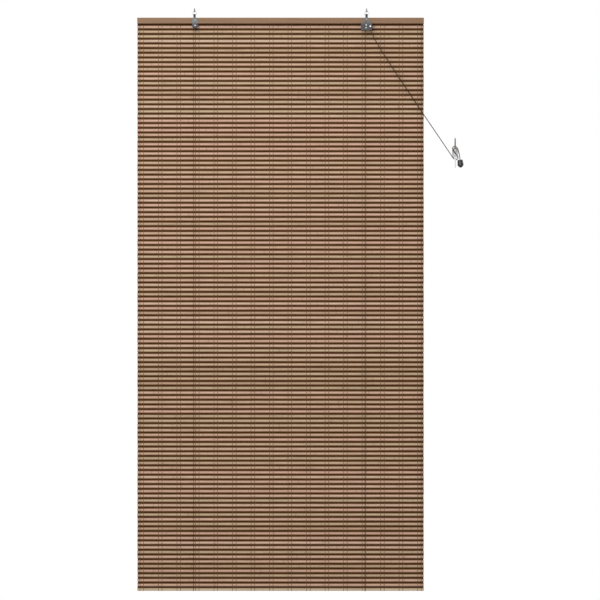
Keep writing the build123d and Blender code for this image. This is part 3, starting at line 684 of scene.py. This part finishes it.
class BLIND_OT_threads(bpy.types.Operator):
    """Threads with a section of width w and depth d: x = column + w/2 cos a, off the line by d/2 sin a.

    The line rides over slats and sticks and dips between them, down the face, round the bar and up the back.
    """

    bl_idname = "blind.threads"
    bl_label = "Warp threads"

    def execute(self, context):
        sizes, colours = context.scene.blind_sizes, context.scene.blind_colours
        material = cotton_thread(colours)
        thickness = MAT_HIGH[1] - MAT_LOW[1]
        width, depth = sizes.thread_width, sizes.thread_depth
        # how far the thread's middle lies from the mat's middle: over a slat, over a stick and at a slat's edge
        over_slat = thickness / 2 + depth / 2 + 0.00005
        over_stick = sizes.stick_depth + depth / 2 + 0.00005
        dip = thickness / 2 - 0.0007
        rows = sizes.rows
        top = MAT_HIGH[2] - (sizes.row_pitch - sizes.slat_gap)
        edge = (sizes.row_pitch - sizes.slat_gap) / 2
        # heights of one row, from the middle of the stick above a slat down to the slat's lower edge
        steps = np.array([-edge - sizes.slat_gap / 2, -edge, -edge * 0.55, 0, edge * 0.55, edge])
        outs = np.array([over_stick, dip, over_slat - 0.0003, over_slat, over_slat - 0.0003, dip])
        row_middle = MAT_HIGH[2] - edge - np.arange(1, rows) * sizes.row_pitch
        heights = (row_middle[:, None] - steps[None, :]).ravel()
        offsets = np.tile(outs, rows - 1)
        turn = np.radians(np.linspace(0, 180, 7))
        loop = BAR_HIGH[1] - BAR_LOW[1]
        loop_radius = loop / 2 + depth / 2 + 0.0001
        loop_middle = BAR_LOW[2] + loop / 2
        face = np.stack([MAT_Y - offsets, heights], -1)
        below = np.array(
            [
                [MAT_Y - over_stick, BAR_HIGH[2] + sizes.slat_gap / 2],
                [MAT_Y - loop_radius + 0.0004, BAR_HIGH[2] + 0.0003],
                [MAT_Y - loop_radius, BAR_HIGH[2] - 0.0008],
            ]
        )
        round_bar = np.stack(
            [MAT_Y - loop_radius * np.cos(turn), loop_middle - loop_radius * np.sin(turn)], -1
        )
        back = np.concatenate([face, below])[::-1] * (-1, 1) + (2 * MAT_Y, 0)
        first = np.array([[MAT_Y - over_slat, top - 0.0002]])
        line_yz = np.concatenate([first, face, below, round_bar, back])
        middles = (np.arange(sizes.columns) - (sizes.columns - 1) / 2) * sizes.column_pitch
        places = (middles[:, None] + np.array([-0.5, 0.5]) * sizes.pair).ravel()
        tangent = np.gradient(line_yz, axis=0)
        tangent /= np.linalg.norm(tangent, axis=1, keepdims=True)
        normal = np.stack([tangent[:, 1], -tangent[:, 0]], -1)
        corner = np.linspace(0, 2 * np.pi, 5, endpoint=False)
        grid = np.empty((len(places), len(line_yz), 5, 3))
        grid[..., 0] = places[:, None, None] + width / 2 * np.cos(corner)
        grid[..., 1:] = line_yz[None, :, None] + depth / 2 * np.sin(corner)[:, None] * normal[None, :, None]
        quarter = len(places) // 4
        for number in range(4):
            part = grid[number * quarter : (number + 1) * quarter]
            piece = add_tubes(f"warp_threads_{number + 1}", [part], material)
            settle(piece, "frame", "thread", *(["warp_threads"] if number == 0 else []))
        return {"FINISHED"}


class BLIND_OT_lift_cords(bpy.types.Operator):
    """Cords of three laid strands, along straight runs and arcs about the bottom bar and the sheaves."""

    bl_idname = "blind.lift_cords"
    bl_label = "Lift cords"

    def execute(self, context):
        sizes, colours = context.scene.blind_sizes, context.scene.blind_colours
        material = braided_cord(colours)
        radius = sizes.cord / 2
        step = 0.0013
        lay = 0.0075  # length in which the strands turn once
        clearance = 0.0003  # between a cord and the bottom bar
        wrap = (BAR_HIGH[1] - BAR_LOW[1]) / 2 + clearance + radius
        bar_z = BAR_LOW[2] + (BAR_HIGH[1] - BAR_LOW[1]) / 2
        knot_radius = 0.0014
        knot_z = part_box("left_lift_cord")[1][2] - knot_radius
        guide_low, guide_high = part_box("guide_sheave_back")
        front_low, front_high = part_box("guide_sheave_front")
        sheave_low, sheave_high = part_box("left_sheave")
        pull = np.array(PULL_ROUTE[0])
        pitch_in = 0.0015  # from a sheave's rim to the middle of its cord
        guide = (np.array(guide_low) + guide_high) / 2
        guide_radius = (guide_high[0] - guide_low[0]) / 2 - pitch_in
        front = (np.array(front_low) + front_high) / 2
        sheave = (np.array(sheave_low) + sheave_high) / 2
        sheave_radius = (sheave_high[0] - sheave_low[0]) / 2 - pitch_in
        leave = 32.8  # angle of the pull cord from the vertical, in degrees
        past_bar = 0.0085  # straight run from the guide sheaves past the lock bar
        right, up, back = np.array((1.0, 0, 0)), np.array((0, 0, 1.0)), np.array((0, 1.0, 0))

        def behind_and_under(x, top_end):
            """Down the back from the knot, half round the bottom bar, and up the face to top_end."""
            bar = np.array((x, MAT_Y, bar_z))
            start = bar + wrap * back
            return [
                line((x, start[1], knot_z), start, step),
                arc(bar, back, -up, wrap, 0, 180, step / 2),
                line(bar - wrap * back, top_end, step),
            ]

        left_x = sheave[0] - sheave_radius
        left_up = np.array((left_x, sheave[1], sheave[2]))
        beside = radius * np.array(((pull - PULL_ROUTE[1])[2], 0, (PULL_ROUTE[1] - pull)[0]))
        beside /= np.linalg.norm(PULL_ROUTE[1] - pull)
        across_end = guide + guide_radius * up
        left = behind_and_under(left_x, left_up)
        left += [arc(sheave, -right, up, sheave_radius, 0, 90, step / 2)]
        left += [line(sheave + sheave_radius * up, across_end, step)]
        left += [arc(guide, up, right, guide_radius, 0, 90 - leave, step / 2)]
        outward = math.cos(math.radians(leave)) * right + math.sin(math.radians(leave)) * up
        onward = math.sin(math.radians(leave)) * right - math.cos(math.radians(leave)) * up
        bar = guide + guide_radius * outward + past_bar * onward
        left += [line(guide + guide_radius * outward, bar, step), line(bar, pull + beside, step)]
        left += [(pull + beside)[None]]

        right_x = front[0] - guide_radius
        other = behind_and_under(right_x, np.array((right_x, front[1], front[2])))
        other += [arc(front, -right, up, guide_radius, 0, 180 - leave, step / 2)]
        bar = front + guide_radius * outward + past_bar * onward
        other += [line(front + guide_radius * outward, bar, step), line(bar, pull - beside, step)]
        other += [(pull - beside)[None]]

        for name, path in (("left_lift_cord", left), ("right_lift_cord", other)):
            path = np.concatenate(path)
            grid = laid_tube(path, (0.577, 0.577, 0.577), radius, 9, lay)
            # the knot is three turns of the cord
            turns = np.linspace(0, 3 * 2 * np.pi, 60)
            knot = path[0] + np.stack(
                [0.0007 * np.cos(turns), 0.0007 * np.sin(turns), np.linspace(-0.0007, 0.0013, 60)], -1
            )
            knot = laid_tube(knot, (0.0, 0.0, 1.0), 0.00055, 8, lay)
            piece = add_tubes(f"{name}_laid", [grid, knot], material)
            settle(piece, "frame", "cord", name)
        return {"FINISHED"}


class BLIND_OT_pull_cord(bpy.types.Operator):
    """Both lift cords side by side along one smooth line: line +- r side, with side square to the room's Y."""

    bl_idname = "blind.pull_cord"
    bl_label = "Pull cord"

    def execute(self, context):
        sizes, colours = context.scene.blind_sizes, context.scene.blind_colours
        curve = bpy.data.curves.new("pull_cord_line", "CURVE")
        curve.dimensions = "3D"
        curve.resolution_u = 24
        spline = curve.splines.new("NURBS")
        spline.points.add(len(PULL_ROUTE) - 1)
        for point, place in zip(spline.points, PULL_ROUTE):
            point.co = (*place, 1.0)
        spline.order_u = 3
        spline.use_endpoint_u = True
        holder = bpy.data.objects.new("pull_cord_line", curve)
        context.scene.collection.objects.link(holder)
        context.view_layer.update()
        mesh = bpy.data.meshes.new_from_object(holder)
        drawn = np.array([v.co for v in mesh.vertices])
        bpy.data.objects.remove(holder)
        bpy.data.curves.remove(curve)
        bpy.data.meshes.remove(mesh)
        along = run_along(drawn)
        even = np.linspace(0, along[-1], int(along[-1] / 0.0008))
        path = np.stack([np.interp(even, along, drawn[:, axis]) for axis in range(3)], -1)
        room = (0.0, 1.0, 0.0)
        _, side, _ = frames_along(path, room)
        radius = sizes.cord / 2
        offset = radius * 0.97 * side
        strands = [laid_tube(path + way * offset, room, radius, 9, 0.0075) for way in (1, -1)]
        piece = add_tubes("pull_cord_laid", strands, braided_cord(colours))
        settle(piece, "frame", "cord", "pull_cord")
        return {"FINISHED"}


class BLIND_OT_screw_eyes(bpy.types.Operator):
    """Screws: a profile turned about the axis, a ridge along a helix on it and a wire round an oval."""

    bl_idname = "blind.screw_eyes"
    bl_label = "Ceiling screws"

    def execute(self, context):
        colours = context.scene.blind_colours
        material = screw_steel(colours)
        wire_steel = drawn_wire(colours)
        # radius and height down the core, from the tip to the underside of the collar
        shank = [(0.05, 9.6), (0.9, 7.4), (1.75, 4.8), (1.8, 0.1)]
        collar = [(3.3, 0.1), (3.5, -0.1), (3.5, -1.0), (3.3, -1.2), (0.4, -1.3)]
        profile = np.array(shank + collar)
        angle = np.linspace(0, 2 * np.pi, 28, endpoint=False)
        core = np.empty((1, len(profile), 28, 3))
        core[..., 0] = profile[:, :1] * np.cos(angle)
        core[..., 1] = profile[:, :1] * np.sin(angle)
        core[..., 2] = profile[:, 1:]
        # five turns of thread, 1.7 mm apart, that fade out at the tip
        turns = np.linspace(0.2, 5.2, 150)
        height = turns * 1.7
        root = np.interp(height, profile[:4, 1][::-1], profile[:4, 0][::-1])
        crest = np.minimum(root + 0.6, 2.4) * np.minimum(1, (8.95 - height) / 0.6 + 0.25)
        crest = np.maximum(crest, root + 0.02)
        ring = np.stack([root - 0.1, crest, root - 0.1], -1)
        rise = np.stack([height - 0.45, height, height + 0.45], -1)
        thread = np.empty((1, len(turns), 3, 3))
        thread[0, ..., 0] = ring * np.cos(2 * np.pi * turns)[:, None]
        thread[0, ..., 1] = ring * np.sin(2 * np.pi * turns)[:, None]
        thread[0, ..., 2] = rise
        # the oval: half its straight part, radius of its round ends, height of its middle
        half, bend, middle = 2.2, 4.3, -5.9
        right_side = np.radians(np.linspace(90, -90, 24))
        left_side = np.radians(np.linspace(-90, -270, 24))
        oval_x = np.concatenate([half + bend * np.cos(right_side), -half + bend * np.cos(left_side)])
        oval_z = np.concatenate([bend * np.sin(right_side), bend * np.sin(left_side)])
        line_round = np.stack([oval_x, np.zeros(48), middle + oval_z], -1)
        outward = np.stack(
            [np.concatenate([np.cos(right_side), np.cos(left_side)]), np.zeros(48), oval_z / bend], -1
        )
        wire = np.linspace(0, 2 * np.pi, 14, endpoint=False)
        eye = line_round[:, None] + np.cos(wire)[None, :, None] * outward[:, None]
        eye = eye + np.sin(wire)[None, :, None] * np.array((0, 1.0, 0))
        for name in ("left_screw_eye", "right_screw_eye"):
            low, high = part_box(name)
            place = np.array(((low[0] + high[0]) / 2, 0, 0))
            turned = [grid * MILLIMETRE + place for grid in (core, thread)]
            piece = add_tubes(f"{name}_shank", turned, material)
            settle(piece, "frame", "steel", name)
            loop = add_tubes(f"{name}_loop", [eye[None] * MILLIMETRE + place], wire_steel, closed_path=True)
            settle(loop, "frame", "steel")
        return {"FINISHED"}


class BLIND_OT_solids(bpy.types.Operator):
    """Finishes of the solids that keep their own shape."""

    bl_idname = "blind.solids"
    bl_label = "Rail, brackets, lock and cleat"

    def execute(self, context):
        colours = context.scene.blind_colours
        dress(["head_rail"], rail_wood(colours))
        dress(["bottom_bar"], bottom_wood(colours))
        dress(STEEL_NODES, zinc_plated_steel(colours))
        dress(RIVET_NODES, bright_rivet_steel(colours))
        dress(["cleat"], cast_zinc(colours))
        dress(["cord_end_piece"], glossy_moulding(colours))
        return {"FINISHED"}


class BLIND_OT_stage(bpy.types.Operator):
    """A pale floor below the blind, even white surroundings, one soft lamp and the camera square in front."""

    bl_idname = "blind.stage"
    bl_label = "Floor, light and camera"

    def execute(self, context):
        scene = context.scene
        material, output = new_material("matt_white_floor")
        place = add_node(material, "ShaderNodeTexCoord").outputs["Object"]
        noise = add_node(material, "ShaderNodeTexNoise", {"Vector": place, "Scale": 2.0})
        tone = add_node(material, "ShaderNodeValToRGB", {0: noise.outputs[0]})
        tone.color_ramp.elements[0].color = linear("#F2F2F0")
        tone.color_ramp.elements[1].color = linear("#F8F8F6")
        shader = add_node(material, "ShaderNodeBsdfPrincipled", {"Base Color": tone.outputs[0], "Roughness": 0.9})
        finish_material(material, output, shader)
        mesh = bpy.data.meshes.new("floor")
        z = BAR_LOW[2] - 0.16
        mesh.from_pydata([(-2.5, -2.5, z), (2.5, -2.5, z), (2.5, 1.2, z), (-2.5, 1.2, z)], [], [(0, 1, 2, 3)])
        mesh.materials.append(material)
        floor = bpy.data.objects.new("floor", mesh)
        scene.collection.objects.link(floor)

        world = bpy.data.worlds.new("studio")
        scene.world = world
        world.use_nodes = True
        world.node_tree.nodes.clear()
        rays = add_node(world, "ShaderNodeLightPath")
        seen = rays.outputs["Is Camera Ray"]
        for kind in ("Is Glossy Ray", "Is Transmission Ray"):
            seen = add_node(world, "ShaderNodeMath", {0: seen, 1: rays.outputs[kind]}, operation="MAXIMUM").outputs[0]
        ambient = add_node(world, "ShaderNodeBackground", {"Color": (1, 1, 1, 1), "Strength": 0.42})
        white = add_node(world, "ShaderNodeBackground", {"Color": (1, 1, 1, 1), "Strength": 1.0})
        mixed = add_node(world, "ShaderNodeMixShader", {0: seen, 1: ambient.outputs[0], 2: white.outputs[0]})
        sky = add_node(world, "ShaderNodeOutputWorld")
        world.node_tree.links.new(mixed.outputs[0], sky.inputs["Surface"])

        lamp = bpy.data.lights.new("soft_lamp", "AREA")
        lamp.size = 2.2
        lamp.energy = 62
        holder = bpy.data.objects.new("soft_lamp", lamp)
        holder.location = (-0.6, -2.6, 0.9)
        holder.rotation_euler = (math.radians(56), 0, math.radians(-10))
        scene.collection.objects.link(holder)

        # The photograph shows the blind square from the front: 600 pixels of 2.792 mm at the slats
        pixel, pixels = 2.792 * MILLIMETRE, 600
        left_edge, rail_edge = 280.575, 17.82
        distance = 20.0
        camera = bpy.data.cameras.new("camera")
        camera.sensor_fit = "HORIZONTAL"
        camera.sensor_width = 36.0
        camera.lens = camera.sensor_width * distance / (pixels * pixel)
        camera.clip_end = 100.0
        viewer = bpy.data.objects.new("camera", camera)
        centre_x = (pixels / 2 - left_edge) * pixel
        centre_z = RAIL_HIGH[2] - (pixels / 2 - rail_edge) * pixel
        viewer.location = (centre_x, MAT_LOW[1] - distance, centre_z)
        viewer.rotation_euler = (math.pi / 2, 0, 0)
        scene.collection.objects.link(viewer)
        scene.camera = viewer
        scene.view_settings.view_transform = "Standard"
        return {"FINISHED"}


class BLIND_PT_panel(bpy.types.Panel):
    """Lists the steps, sizes and colours."""

    bl_idname = "BLIND_PT_panel"
    bl_label = "Bamboo blind"
    bl_space_type = "VIEW_3D"
    bl_region_type = "UI"
    bl_category = "Blind"

    def draw(self, context):
        for operator in OPERATORS:
            self.layout.operator(operator.bl_idname)
        for group in (context.scene.blind_sizes, context.scene.blind_colours):
            for name in group.__annotations__:
                self.layout.prop(group, name)


OPERATORS = (
    BLIND_OT_solids,
    BLIND_OT_mat,
    BLIND_OT_threads,
    BLIND_OT_lift_cords,
    BLIND_OT_pull_cord,
    BLIND_OT_screw_eyes,
    BLIND_OT_stage,
)
CLASSES = (BlindSizes, BlindColours, *OPERATORS, BLIND_PT_panel)


def register():
    for item in CLASSES:
        bpy.utils.register_class(item)
    bpy.types.Scene.blind_sizes = bpy.props.PointerProperty(type=BlindSizes)
    bpy.types.Scene.blind_colours = bpy.props.PointerProperty(type=BlindColours)


def unregister():
    del bpy.types.Scene.blind_colours
    del bpy.types.Scene.blind_sizes
    for item in reversed(CLASSES):
        bpy.utils.unregister_class(item)


def main():
    register()
    bpy.ops.blind.solids()
    bpy.ops.blind.mat()
    bpy.ops.blind.threads()
    bpy.ops.blind.lift_cords()
    bpy.ops.blind.pull_cord()
    bpy.ops.blind.screw_eyes()
    bpy.ops.blind.stage()


if __name__ == "__main__":
    main()
